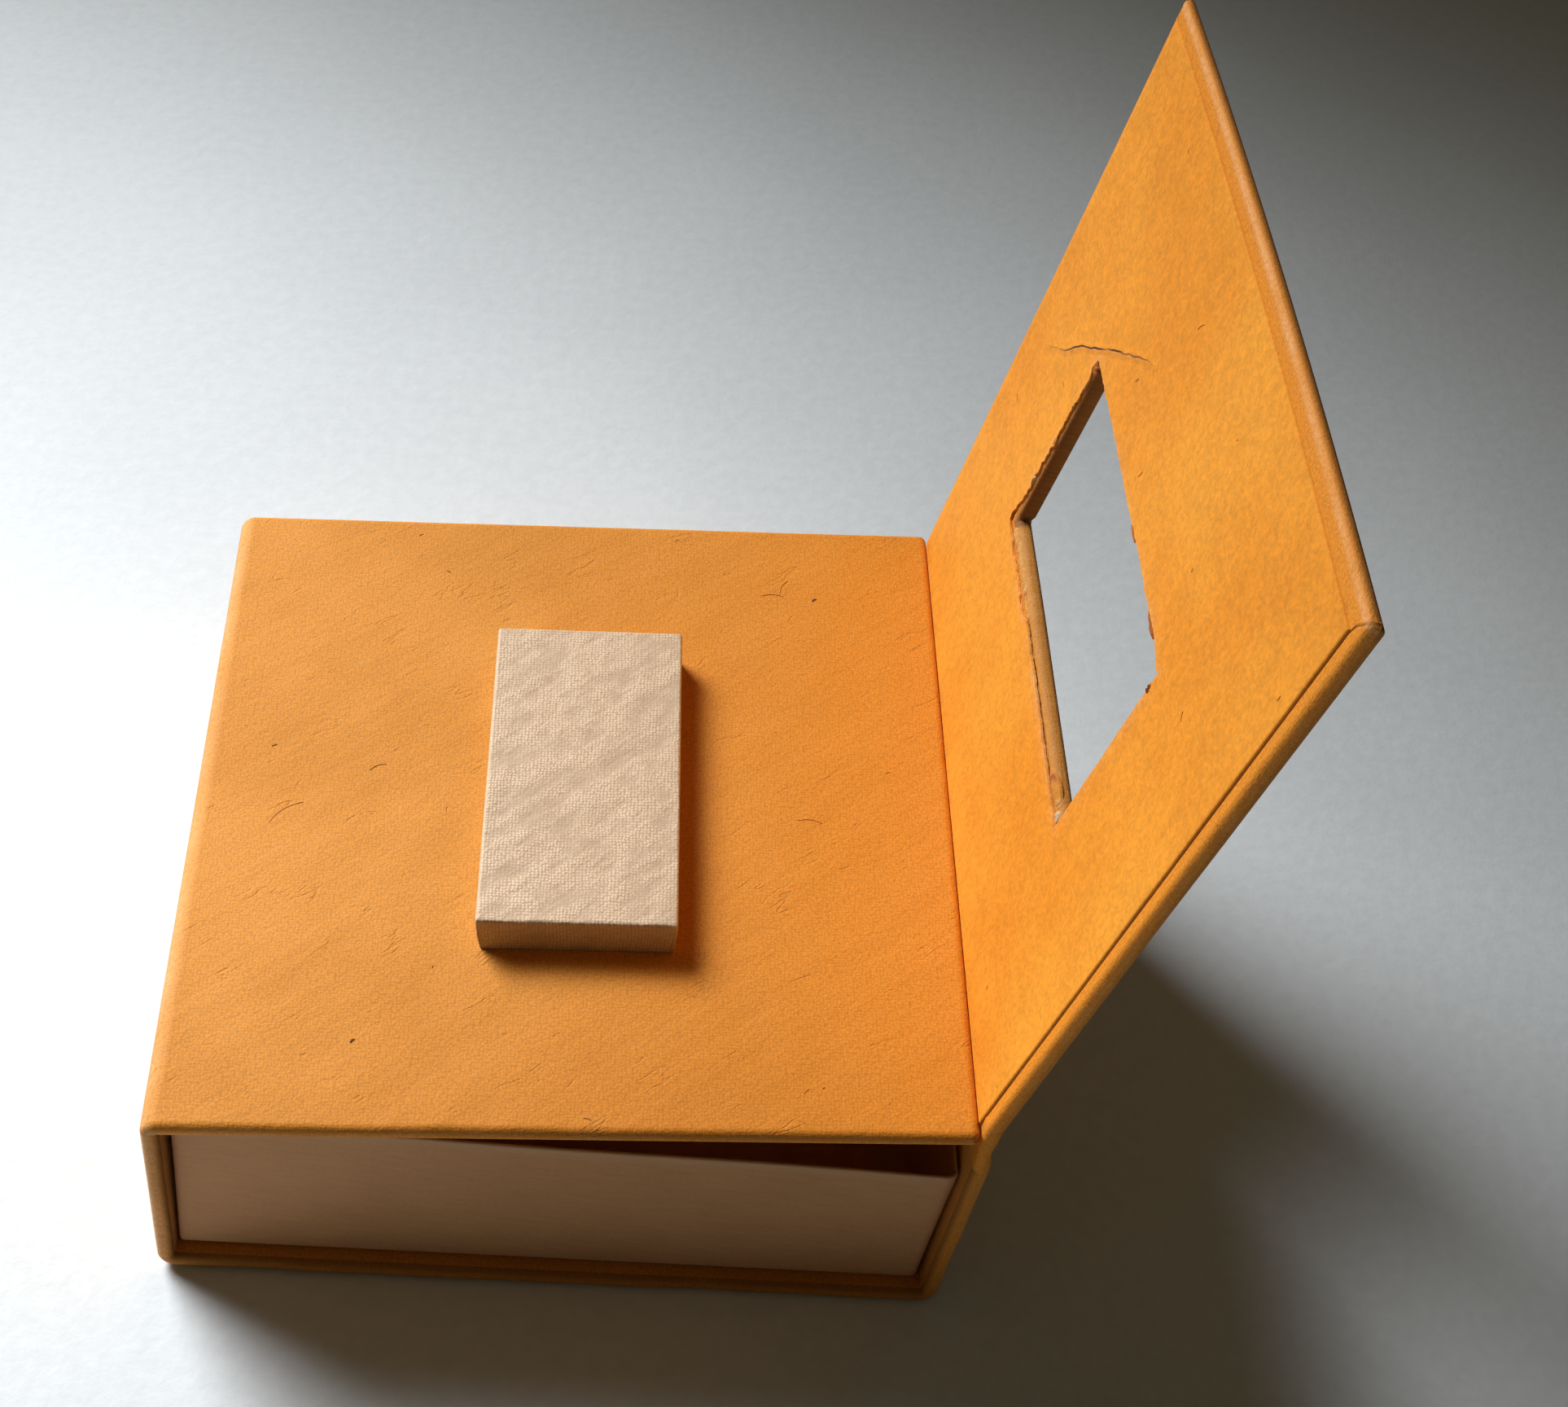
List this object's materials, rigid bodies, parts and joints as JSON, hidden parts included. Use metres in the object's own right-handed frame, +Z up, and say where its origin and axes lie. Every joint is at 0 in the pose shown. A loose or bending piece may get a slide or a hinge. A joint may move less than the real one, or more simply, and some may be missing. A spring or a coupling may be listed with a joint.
{
  "type": "paper box",
  "caption": "Paper-covered box wrapped round an open tray, with a sprung inner flap that carries a block, and a hinged lid whose window drops over that block to close it.",
  "frame": {"origin": "middle of the case's underside, where it rests on the table", "axes": "+Z up, +X towards the lid's hinge, +Y to the back"},
  "size_m": [0.126, 0.109, 0.1427],
  "materials": {
    "orange_paper": "matt, thick handmade paper with a cloth mark",
    "lining_paper": "matt, smoother handmade paper",
    "cream_paper": "matt, undyed handmade paper with a cloth mark",
    "tray_card": "matt, plain card"
  },
  "bodies": {
    "case": {"case_shell": "orange_paper", "tray": "tray_card", "flap_fold": "orange_paper", "lid_fold": "orange_paper"},
    "flap": {"inner_flap": "orange_paper", "closing_block": "cream_paper"},
    "lid": {"lid": "orange_paper", "lid_lining": "lining_paper"}
  },
  "joints": [
    {"name": "lid_hinge", "type": "hinge", "parent": "case", "child": "lid", "pos_m": [0.0518, 0, 0.0373], "axis": [0, 1, 0], "range_deg": [-98, 99], "deforming": ["lid_fold"]},
    {"name": "flap_hinge", "type": "hinge", "parent": "case", "child": "flap", "pos_m": [-0.0518, 0, 0.0331], "axis": [0, -1, 0], "range_deg": [-4.7, 4.75], "deforming": ["flap_fold"]}
  ],
  "couplings": [
    {"joint": "flap_hinge", "follows": "lid_hinge", "ratio": 0.047959}
  ]
}
